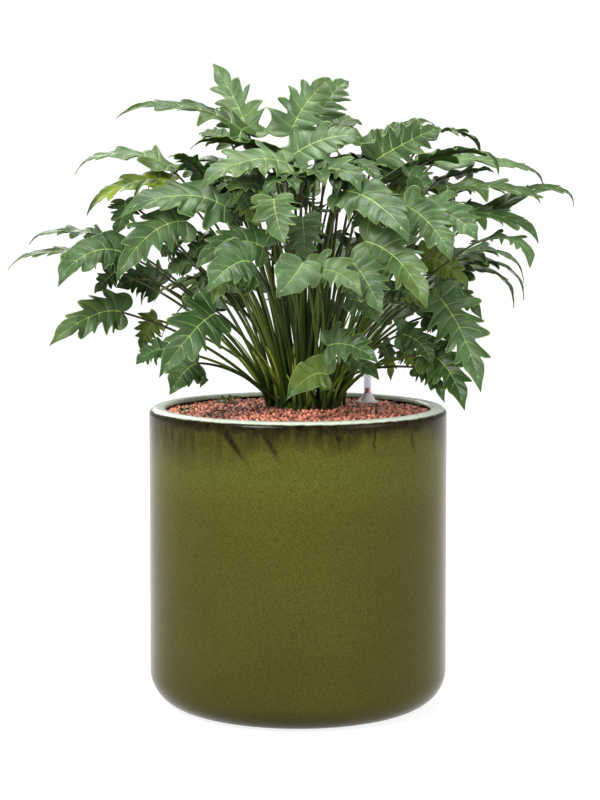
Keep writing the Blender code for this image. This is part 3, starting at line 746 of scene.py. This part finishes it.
class Sheet:
    """Collects one piece's points and faces, a UV for each point and attributes for each row."""

    def __init__(self):
        self.points = []
        self.faces = []
        self.uvs = []
        self.values = {}

    def grid(self, rows, uvs=None, values=None, closed=False, flip=False):
        start = len(self.points)
        wide = len(rows[0])
        for r, row in enumerate(rows):
            for c, point in enumerate(row):
                self.points.append(tuple(point))
                self.uvs.append(uvs[r][c] if uvs else (0.0, 0.0))
                for name, found in (values or {}).items():
                    self.values.setdefault(name, {})[len(self.points) - 1] = found[r]
        for r in range(len(rows) - 1):
            for c in range(wide if closed else wide - 1):
                n = (c + 1) % wide
                low = start + r * wide
                face = (low + c, low + n, low + wide + n, low + wide + c)
                self.faces.append(face[::-1] if flip else face)
        return start

    def tube(self, rows, along, tone=None, flip=True):
        """A closed grid with a face over each end."""
        wide = len(rows[0])
        values = {"along": along}
        if tone is not None:
            values["tone"] = [tone] * len(rows)
        start = self.grid(rows, None, values, closed=True, flip=flip)
        last = start + (len(rows) - 1) * wide
        for first, turned in ((start, not flip), (last, flip)):
            ring = tuple(range(first, first + wide))
            self.faces.append(ring[::-1] if turned else ring)

    def piece(self, name, materials, merge=FINE_JOIN, outward=True):
        mesh = bpy.data.meshes.new(name)
        mesh.from_pydata(self.points, [], self.faces)
        for made in materials:
            mesh.materials.append(made)
        layer = mesh.uv_layers.new(name="UVMap")
        flat = [part for loop in mesh.loops for part in self.uvs[loop.vertex_index]]
        layer.data.foreach_set("uv", flat)
        for label, found in self.values.items():
            store = mesh.attributes.new(label, "FLOAT", "POINT")
            store.data.foreach_set("value", [found.get(k, 0.0) for k in range(len(self.points))])
        body = bmesh.new()
        body.from_mesh(mesh)
        bmesh.ops.remove_doubles(body, verts=body.verts, dist=merge)
        if outward:
            bmesh.ops.recalc_face_normals(body, faces=body.faces)
        body.to_mesh(mesh)
        body.free()
        mesh.shade_smooth()
        return placed(name, mesh)


def placed(name, data):
    """An object with this data, in the scene."""
    made = bpy.data.objects.new(name, data)
    bpy.context.scene.collection.objects.link(made)
    return made


def catmull(points, t):
    """A smooth curve through points, at t counted in points."""
    k = min(max(int(t), 0), len(points) - 2)
    f = t - k
    before = points[max(k - 1, 0)]
    after = points[min(k + 2, len(points) - 1)]
    found = []
    for p, q, r, s in zip(before, points[k], points[k + 1], after):
        square = (2.0 * p - 5.0 * q + 4.0 * r - s) * f * f
        cube = (3.0 * q - p - 3.0 * r + s) * f * f * f
        found.append(0.5 * (2.0 * q + (r - p) * f + square + cube))
    return found


# One half of a blade's margin from its heart-shaped base to the tip. Each knot: along the midrib,
# across in half widths, across in a leaf that is cut less, where its vein leaves the midrib, and
# the vein's number, with a half at each lobe and a whole one at each notch
MARGIN = (
    (0.000, 0.00, 0.00, 0.000, 0.00),
    (-0.050, 0.14, 0.14, 0.000, 0.10),
    (-0.085, 0.36, 0.36, 0.002, 0.22),
    (-0.078, 0.62, 0.62, 0.005, 0.36),
    (-0.026, 0.84, 0.84, 0.010, 0.50),
    (0.050, 0.80, 0.93, 0.030, 0.75),
    (0.110, 0.70, 0.96, 0.060, 1.00),
    (0.172, 0.82, 0.98, 0.080, 1.25),
    (0.246, 1.04, 1.00, 0.110, 1.50),
    (0.252, 0.83, 0.99, 0.140, 1.75),
    (0.232, 0.64, 0.95, 0.165, 2.00),
    (0.315, 0.74, 0.94, 0.200, 2.25),
    (0.406, 0.98, 0.93, 0.245, 2.50),
    (0.412, 0.73, 0.90, 0.280, 2.75),
    (0.390, 0.54, 0.84, 0.310, 3.00),
    (0.472, 0.63, 0.84, 0.345, 3.25),
    (0.566, 0.83, 0.80, 0.390, 3.50),
    (0.570, 0.61, 0.76, 0.425, 3.75),
    (0.545, 0.46, 0.70, 0.455, 4.00),
    (0.630, 0.52, 0.68, 0.490, 4.25),
    (0.730, 0.62, 0.60, 0.540, 4.50),
    (0.732, 0.45, 0.56, 0.575, 4.75),
    (0.708, 0.34, 0.50, 0.600, 5.00),
    (0.775, 0.37, 0.47, 0.650, 5.35),
    (0.850, 0.28, 0.33, 0.740, 5.90),
    (0.930, 0.12, 0.14, 0.850, 6.45),
    (1.000, 0.00, 0.00, 1.000, 7.00),
)
STEPS_PER_KNOT = 3
ACROSS = (0.0, 0.07, 0.30, 0.55, 0.78, 0.93, 1.0)


def leaf_tone(name, k):
    """How pale and how yellow a leaf is: the last word that its name holds counts. The paleness
    is partly painted light and shade.
    """
    tones = [value + 0.06 * sin(k * 1.3) for word, value in TONES_AND_PAINTED_LIGHT.items() if word in name]
    yellows = [value for word, value in YELLOWS.items() if word in name]
    tone = tones[-1] if tones else 0.38 + 0.32 * sin(k * 2.399)
    yellow = yellows[-1] if yellows else 0.06 + 0.06 * sin(k * 3.1)
    return min(1.0, max(0.0, tone)), min(1.0, max(0.0, yellow))


def fine_point(leaf, t, across, vein, phase):
    """A point of the finished blade: its halves are quilted between the veins, and wavy."""
    point, up = blade_point(leaf, t, across)
    width = leaf[3]
    reach = abs(across)
    groove = exp(-(((vein % 1.0 - 0.5) / 0.16) ** 2))
    wave = 0.070 * width * reach * reach * sin(vein * 3.3 + phase)
    quilt = -0.028 * width * groove * sin(min(reach, 1.0) * pi)
    fall = -0.10 * width * reach**4 * (0.5 + 0.5 * sin(vein * 2.0 * pi + phase))
    return point + up * (wave + quilt + fall)


def lobe_knots(margin, side, k, ease):
    """The margin's knots for one half of a blade, a little different in every leaf."""
    knots = []
    for t, cut, plain, foot, vein in margin:
        step = int(vein)
        less_cut = ease + 0.42 * sin(k * 2.1 + side + round(vein) * 2.7)
        size = 1.0 + 0.08 * sin(k * 3.7 - side * 1.3 + step * 2.3)
        slide = 0.014 * sin(k * 1.9 + side * 2.0 + step * 1.7) if 0.0 < t < 1.0 else 0.0
        knots.append((t + slide, max(0.0, cut + (plain - cut) * less_cut) * size, foot, vein))
    return knots


def add_blade(sheet, leaf, tone, yellow, k, ease=0.0):
    """Both halves of a blade. The higher its ease, the less it is cut, and from 1 it is whole."""
    margin = MARGIN
    if ease >= 1.0:
        margin = [row for row in MARGIN if row[4] <= 0.5 or row[4] % 1.0 == 0.5 or row[4] > 5.5]
    total = (len(margin) - 1) * STEPS_PER_KNOT
    for side in (1.0, -1.0):
        knots = lobe_knots(margin, side, k, ease)
        rows = []
        uvs = []
        for s in range(total + 1):
            t, wide, foot, vein = catmull(knots, s / STEPS_PER_KNOT)
            wide = max(0.0, wide)
            row = []
            uv = []
            for q in ACROSS:
                at = foot + (t - foot) * q**1.35
                row.append(fine_point(leaf, min(at, 1.0), side * wide * q, vein, k * 1.7 + side))
                uv.append((min(max(vein / VEINS, 0.001), 0.999), 0.5 + 0.5 * side * q))
            rows.append(row)
            uvs.append(uv)
        values = {"tone": [tone] * len(rows), "yellow": [yellow] * len(rows)}
        sheet.grid(rows, uvs, values, flip=side < 0.0)


def tube_rows(centres, radii, sides, side):
    """Rings round a route, turned so that they don't twist, from a first sideways direction."""
    rows = []
    for k in range(len(centres) - 1, -1, -1):
        ahead = centres[min(k + 1, len(centres) - 1)]
        behind = centres[max(k - 1, 0)]
        run = (ahead - behind).normalized()
        side = (side - run * run.dot(side)).normalized()
        top = side.cross(run).normalized()
        ring = []
        for n in range(sides):
            turn = 2.0 * pi * n / sides
            flat = 1.0 - 0.22 * max(0.0, sin(turn))
            offset = side * cos(turn) + top * sin(turn) * flat
            ring.append(centres[k] + offset * radii[k])
        rows.insert(0, ring)
    return rows


def add_petiole(sheet, leaf, root, bend, tone):
    """The petiole from the shoot to the blade, then the rib that tapers out under the blade."""
    route = petiole_route(leaf, root, bend)
    centres = []
    radii = []
    along = []
    for k in range(PETIOLE_STEPS + 1):
        t = k / PETIOLE_STEPS * 0.985
        centres.append(bezier(route, t))
        radii.append(STALK * (1.0 - 0.42 * t) * (1.0 + 0.45 * exp(-k / 1.6)))
        along.append(t * 0.97)
    for k in range(RIB_RINGS):
        t = 0.03 + 0.80 * k / (RIB_RINGS - 1)
        at, up = blade_point(leaf, t, 0.0)
        centres.append(at - up * 0.0005)
        radii.append(max(0.0003, 0.0009 * (1.0 - t) + 0.0002))
        along.append(1.0)
    side = blade_frame(leaf, 0.0)[1]
    sheet.tube(tube_rows(centres, radii, TUBE_SIDES, side), along, tone)


def add_stub(sheet, root):
    """A shoot's short stem: it stands in the bed and flares a little where the petioles leave."""
    rows = []
    for radius, height in STUB:
        row = []
        for n in range(STUB_SIDES):
            turn = 2.0 * pi * n / STUB_SIDES
            wide = radius * (1.0 + 0.10 * sin(turn * 3.0 + root.x * 900.0))
            row.append((root.x + wide * cos(turn), root.y + wide * sin(turn), height))
        rows.append(row)
    sheet.tube(rows, [0.0] * len(rows), 0.5, flip=False)


def inner_leaves(shoots):
    """Young, shaded leaves inside the dome, painted dark as shade by the word shade in their names:
    the stalks and dark green seen between the rest.
    """
    found = []
    for k in range(INNER_LEAVES):
        high = k < INNER_HIGH
        turn = k * GOLDEN + 0.6
        if high:
            reach = scatter(k, 0.618, 0.035, 0.075)
            level = scatter(k, 0.382, 0.545, 0.060)
            away = 0.010
        else:
            reach = scatter(k, 0.755, 0.065, 0.065)
            level = scatter(k, 0.569, 0.425, 0.095)
            away = 0.030
        out = Vector((cos(turn), sin(turn) * 0.9, 0.0))
        if not high and out.y < -0.25:
            out.y *= -1.0
        start = Vector((CROWN.x, CROWN.y, 0.0)) + out * reach
        start.z = level
        run = heading(turn + 0.9 * sin(k * 2.7))
        length = scatter(k, 0.271, 0.062, 0.020)
        way = start + run * length * 0.5 + UP * 0.014
        end = start + run * length - UP * scatter(k, 0.433, 0.012, 0.02)
        width = 0.036 + 0.010 * sin(k * 1.1) ** 2
        leaf = (start, way, end, width, 0.25 * sin(k * 1.9))
        spot = CROWN + Vector((out.x, out.y)) * away
        apart = {
            name: (root - spot).length + 0.004 * sin(k * 5.0 + len(name))
            for name, root in shoots.items()
        }
        bend = (0.012 * sin(k * 3.3), 0.0)
        # The word shade in the name gives each of these leaves the dark tone of painted shade
        found.append(("inner_shade_%02d" % k, leaf, min(apart, key=apart.get), bend))
    return found


def thicken(made, thickness):
    """Gives blades their thickness, with the second material on the underside."""
    wall = made.modifiers.new("blade", "SOLIDIFY")
    wall.thickness = thickness
    wall.offset = 0.0
    wall.material_offset = 1
    return wall


def make_plant():
    """Each shoot's blades and petioles over its solid, then what fell on the granules."""
    skins = [leaf_face("leaf_face", False), leaf_face("leaf_underside", True)]
    stalk = petiole_skin()
    shoots, leaves = placed_leaves()
    print("leaves found:", len(leaves))
    leaves += inner_leaves(shoots)
    for home, root in shoots.items():
        blades = Sheet()
        stalks = Sheet()
        for k, (name, leaf, found, bend) in enumerate(leaves):
            if found != home:
                continue
            tone, yellow = leaf_tone(name, k)
            add_blade(blades, leaf, tone, yellow, k, LESS_CUT.get(name, 0.0))
            add_petiole(stalks, leaf, root, bend, 0.5 + 0.5 * sin(k * 1.9))
        add_stub(stalks, root)
        skin = blades.piece(home + "_blades", skins, merge=JOIN, outward=False)
        thicken(skin, BLADE_WALL).use_quality_normals = True
        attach(skin, "root")
        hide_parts(home)
        stems = stalks.piece(home + "_petioles", [stalk], merge=JOIN)
        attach(stems, "root")
        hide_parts(home)
    add_fallen(skins, stalk)


def add_sheaths():
    """Old sheaths and leafless stubs round the crown: green below and straw at the tip."""
    sheet = Sheet()
    steps = 10
    for k in range(SHEATHS):
        turn = -0.5 * pi + 1.35 * sin(k * 2.4) if k < FRONT_SHEATHS else k * GOLDEN
        root = CROWN + heading(turn).xy * scatter(k, 0.37, 0.038, 0.008)
        tall = scatter(k, 0.618, 0.045, 0.080)
        lean = heading(turn) * tall * scatter(k, 0.29, 0.25, 0.30)
        foot = Vector((root.x, root.y, SHEATH_FOOT))
        centres = []
        radii = []
        for n in range(steps + 1):
            t = n / steps
            sway = Vector((sin(k + 3.0 * t), cos(k * 1.3 + 2.0 * t), 0.0)) * 0.004 * t
            centres.append(foot + UP * (tall * t) + lean * t * t + sway)
            radii.append(0.0019 * (1.0 - t) ** 0.45 + 0.0003)
        side = Vector((-sin(turn), cos(turn), 0.0))
        along = [n / steps for n in range(steps + 1)]
        sheet.tube(tube_rows(centres, radii, TUBE_SIDES, side), along)
    made = sheet.piece("old_sheaths", [sheath_skin()], merge=JOIN)
    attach(made, "root")


def add_fallen(skins, stalk):
    """A thin dry stalk, a scrap of leaf and a tiny leaf that lie on the granules."""
    sheet = Sheet()
    centres = []
    radii = []
    steps = 8
    first, last = (Vector(end) for end in DRY_STALK)
    for n in range(steps + 1):
        t = n / steps
        curl = Vector((0.004 * sin(t * 4.0), 0.0, 0.002 * sin(t * 9.0)))
        centres.append(first.lerp(last, t) + curl)
        radii.append(0.0009 - 0.0005 * t)
    rows = tube_rows(centres, radii, 6, Vector((1.0, 0.0, 0.0)))
    sheet.tube(rows, [0.3] * len(rows))
    made = sheet.piece("fallen_stalk", [stalk])
    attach(made, "root")
    scraps = Sheet()
    for k, (place, run, size, tone) in enumerate(FALLEN):
        start = Vector(place)
        end = start + Vector(run)
        way = (start + end) / 2.0 + UP * 0.005
        add_blade(scraps, (start, way, end, size, 0.1), tone, 0.1, k)
    made = scraps.piece("fallen_scraps", skins, outward=False)
    thicken(made, SCRAP_WALL)
    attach(made, "root")


# Pot


def arc(centre_r, centre_z, radius, start, end, steps):
    turns = [radians(start + (end - start) * k / steps) for k in range(steps + 1)]
    return [(centre_r + radius * cos(a), centre_z + radius * sin(a)) for a in turns]


def make_pot(glaze):
    """The pot as one turned shell: foot, wall, rounded lip, inner wall and floor."""
    profile = [(0.0, 0.0), (0.060, 0.0)]
    profile += arc(POT_RADIUS - FOOT_ROUND, FOOT_ROUND, FOOT_ROUND, -90, 0, 14)
    profile += [(POT_RADIUS, height) for height in (0.090, 0.160, 0.230, 0.290)]
    profile += arc(POT_RADIUS - LIP_ROUND, POT_HEIGHT - LIP_ROUND, LIP_ROUND, 0, 90, 10)
    profile += arc(POT_INNER + 0.004, POT_HEIGHT - 0.004, 0.004, 90, 180, 6)
    profile += [(POT_INNER, 0.318), (POT_INNER, POT_FLOOR + 0.012)]
    profile += [(POT_INNER - 0.012, POT_FLOOR), (0.0, POT_FLOOR)]
    rows = []
    for radius, height in profile:
        row = []
        for n in range(POT_TURNS):
            turn = 2.0 * pi * n / POT_TURNS
            unround = 1.0 + 0.0008 * sin(turn * 2.0 + 0.7) * min(1.0, height / 0.1)
            row.append((radius * sin(turn) * unround, -radius * cos(turn) * unround, height))
        rows.append(row)
    sheet = Sheet()
    sheet.grid(rows, closed=True)
    made = sheet.piece("glazed_pot", [glaze], merge=JOIN)
    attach(made, "root")
    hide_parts("pot")


# Granules


def bed_height(x, y):
    away = (Vector((x, y)) - CROWN).length
    return BED_TOP + MOUND * exp(-((away / 0.055) ** 2))


def granule_tree(clay):
    """Clay beads scattered over a surface: turned, stretched and shaded each in its own way."""
    tree = bpy.data.node_groups.new("clay_beads", "GeometryNodeTree")
    for label, way, kind, value in (
        ("Geometry", "INPUT", "NodeSocketGeometry", None),
        ("Bead Radius", "INPUT", "NodeSocketFloat", GRAIN_SIZE / 2.0),
        ("Spacing", "INPUT", "NodeSocketFloat", GRAIN_SPACING),
        ("Seed", "INPUT", "NodeSocketInt", 3),
        ("Geometry", "OUTPUT", "NodeSocketGeometry", None),
    ):
        socket = tree.interface.new_socket(label, in_out=way, socket_type=kind)
        if value is not None:
            socket.default_value = value
    g = Graph(tree)
    start = g.add("NodeGroupInput")
    inputs = {
        "Mesh": start["Geometry"],
        "Distance Min": start["Spacing"],
        "Density Max": GRAIN_DENSITY,
        "Seed": start["Seed"],
    }
    kind = "GeometryNodeDistributePointsOnFaces"
    points = g.add(kind, inputs, distribute_method="POISSON")["Points"]
    inputs = {"Segments": 7, "Rings": 5, "Radius": start["Bead Radius"]}
    bead = g.add("GeometryNodeMeshUVSphere", inputs)["Mesh"]
    kind = "FunctionNodeRandomValue"
    turn, size, lift = (
        g.add(kind, {"Min": low, "Max": high}, data_type="FLOAT_VECTOR")["Value"]
        for low, high in (
            ((0.0, 0.0, 0.0), (6.28, 6.28, 6.28)),
            ((0.82, 0.78, 0.74), (1.22, 1.15, 1.08)),
            ((0.0, 0.0, -0.0010), (0.0, 0.0, 0.0010)),
        )
    )
    raised = g.add("GeometryNodeSetPosition", {"Geometry": points, "Offset": lift})["Geometry"]
    inputs = {"Points": raised, "Instance": bead, "Rotation": turn, "Scale": size}
    beads = g.add("GeometryNodeInstanceOnPoints", inputs)["Instances"]
    shade = g.add(kind, data_type="FLOAT")[1]
    inputs = {"Geometry": beads, "Name": "grain", "Value": shade}
    kind = "GeometryNodeStoreNamedAttribute"
    beads = g.add(kind, inputs, data_type="FLOAT", domain="INSTANCE")["Geometry"]
    for kind in ("GeometryNodeRealizeInstances", "GeometryNodeSetShadeSmooth"):
        beads = g.add(kind, {"Geometry": beads})["Geometry"]
    inputs = {"Geometry": beads, "Material": clay}
    beads = g.add("GeometryNodeSetMaterial", inputs)["Geometry"]
    g.add("NodeGroupOutput", {"Geometry": beads})
    return tree


def make_granules(clay):
    tree = granule_tree(clay)
    sockets = {item.name: item.identifier for item in tree.interface.items_tree}
    for name, first, last, number in GRANULE_HALVES:
        sheet = Sheet()
        rows = []
        for ring in range(13):
            radius = (POT_INNER - 0.0030) * ring / 12
            row = []
            for n in range(49):
                a = radians(first + (last - first) * n / 48)
                x = radius * cos(a)
                y = radius * sin(a)
                row.append((x, y, bed_height(x, y) + 0.0016))
            rows.append(row)
        sheet.grid(rows)
        ground = sheet.piece(name + "_ground", [clay])
        change = ground.modifiers.new("beads", "NODES")
        change.node_group = tree
        change[sockets["Spacing"]] = GRAIN_SPACING
        change[sockets["Seed"]] = number
        seen = bpy.context.evaluated_depsgraph_get()
        mesh = bpy.data.meshes.new_from_object(ground.evaluated_get(seen))
        bpy.data.objects.remove(ground, do_unlink=True)
        made = placed(name, mesh)
        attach(made, "root")


# Gauge


def turned_piece(name, profile, turns, look, closed):
    """A profile turned about the gauge's axis. A closed one has no opening to its inside."""
    rows = []
    for radius, height in profile:
        row = []
        for n in range(turns):
            turn = 2.0 * pi * n / turns
            x = GAUGE.x + radius * cos(turn)
            y = GAUGE.y + radius * sin(turn)
            row.append((x, y, height))
        rows.append(row)
    if closed:
        rows.append(rows[0])
    sheet = Sheet()
    sheet.grid(rows, closed=True)
    made = sheet.piece(name, [look])
    made.data.set_sharp_from_angle(angle=radians(40))
    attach(made, "root")
    return made


def make_gauge():
    """The clear tube with its frosted collar, and the float's rod with its red mark."""
    collar = BED_TOP + 0.0035
    low = POT_FLOOR + 0.00035
    profile = [
        (GAUGE_OUTER, low),
        (GAUGE_OUTER, GAUGE_TOP - 0.0010),
        (GAUGE_OUTER - 0.0010, GAUGE_TOP),
        (0.0, GAUGE_TOP),
        (0.0, GAUGE_TOP - 0.0015),
        (GAUGE_INNER, GAUGE_TOP - 0.0015),
        (GAUGE_INNER, low),
    ]
    clear = clear_plastic("clear_tube", 0.78)
    tube = turned_piece("gauge_clear_tube", profile, TUBE_TURNS, clear, True)
    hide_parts("gauge_tube")
    profile = [
        (GAUGE_OUTER + 0.0001, collar),
        (GAUGE_FLARE, collar),
        (GAUGE_FLARE, collar + 0.0014),
        (GAUGE_FLARE - 0.003, collar + 0.0024),
        (GAUGE_OUTER + 0.0036, collar + 0.0048),
        (GAUGE_OUTER + 0.0014, collar + 0.0078),
        (GAUGE_OUTER + 0.0004, collar + 0.0105),
        (GAUGE_OUTER + 0.0001, collar + 0.0108),
    ]
    frosted = clear_plastic("frosted_collar", 0.10)
    flare = turned_piece("gauge_collar", profile, TUBE_TURNS, frosted, True)
    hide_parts("gauge_tube")
    profile = [
        (0.0, low),
        (ROD_RADIUS, low),
        (ROD_RADIUS, ROD_TOP - 0.0032),
        (0.0, ROD_TOP - 0.0032),
    ]
    white = plain_plastic("rod_white", (0.8, 0.8, 0.8), 0.4)
    stick = turned_piece("gauge_rod", profile, ROD_TURNS, white, False)
    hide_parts("gauge_float")
    profile = [
        (0.0, ROD_TOP - 0.0030),
        (MARK_RADIUS, ROD_TOP - 0.0030),
        (MARK_RADIUS, ROD_TOP + 0.0028),
        (MARK_RADIUS - 0.0009, ROD_TOP + 0.0036),
        (0.0, ROD_TOP + 0.0036),
    ]
    red = plain_plastic("mark_red", (1.0, 0.15, 0.04), 0.35)
    mark = turned_piece("gauge_mark", profile, ROD_TURNS, red, False)
    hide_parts("gauge_float")


# Studio


def make_studio():
    """A white room: a world that lights softly and is seen white, a white floor, four lamps."""
    view = bpy.context.scene.view_settings
    view.view_transform = "Standard"
    view.gamma = 0.86
    world = bpy.data.worlds.new("studio")
    bpy.context.scene.world = world
    world.use_nodes = True
    g = Graph(world.node_tree)
    soft = g.tree.nodes["Background"]
    g.feed(soft.inputs["Color"], WHITE)
    g.feed(soft.inputs["Strength"], WORLD_LIGHT)
    plain = g.add("ShaderNodeBackground", {"Color": WHITE, "Strength": WORLD_SEEN})[0]
    camera = g.add("ShaderNodeLightPath")["Is Camera Ray"]
    either = g.add("ShaderNodeMixShader", {"Fac": camera, 1: soft.outputs[0], 2: plain})[0]
    g.feed(g.tree.nodes["World Output"].inputs["Surface"], either)
    mesh = bpy.data.meshes.new("floor")
    mesh.from_pydata(FLOOR, [], [(0, 1, 2, 3)])
    floor = placed("floor", mesh)
    glow = {"Specular IOR Level": 0.0, "Emission Color": WHITE, "Emission Strength": 0.87}
    mesh.materials.append(Look("floor_white").surface((0.27, 0.27, 0.27), 0.9, glow))
    for name, place, target, size, power in LAMPS:
        lamp = bpy.data.lights.new(name, "AREA")
        lamp.shape = "SQUARE"
        lamp.size = size
        lamp.energy = power
        made = placed(name, lamp)
        made.location = place
        away = Vector((0.0, 0.0, target)) - Vector(place)
        made.rotation_euler = away.to_track_quat("-Z", "Y").to_euler()


def make_camera():
    lens = bpy.data.cameras.new("camera")
    lens.sensor_width = 36.0
    lens.lens = 96.4
    lens.shift_x = 0.0025
    lens.shift_y = -0.10
    made = placed("camera", lens)
    made.location = (0.0, -2.3674, 0.5862)
    made.rotation_euler = (radians(90.0 - CAMERA_DOWN), 0.0, 0.0)
    bpy.context.scene.camera = made


make_camera()
make_studio()
make_pot(olive_glaze())
clay = clay_skin()
bpy.data.objects["clay_granules"].data.materials.clear()
# the solid bed under the beads gets the near-black painted shade
frame_mesh("clay_granules").materials.append(gap_shade_skin())
make_granules(clay)
make_gauge()
make_plant()
add_sheaths()
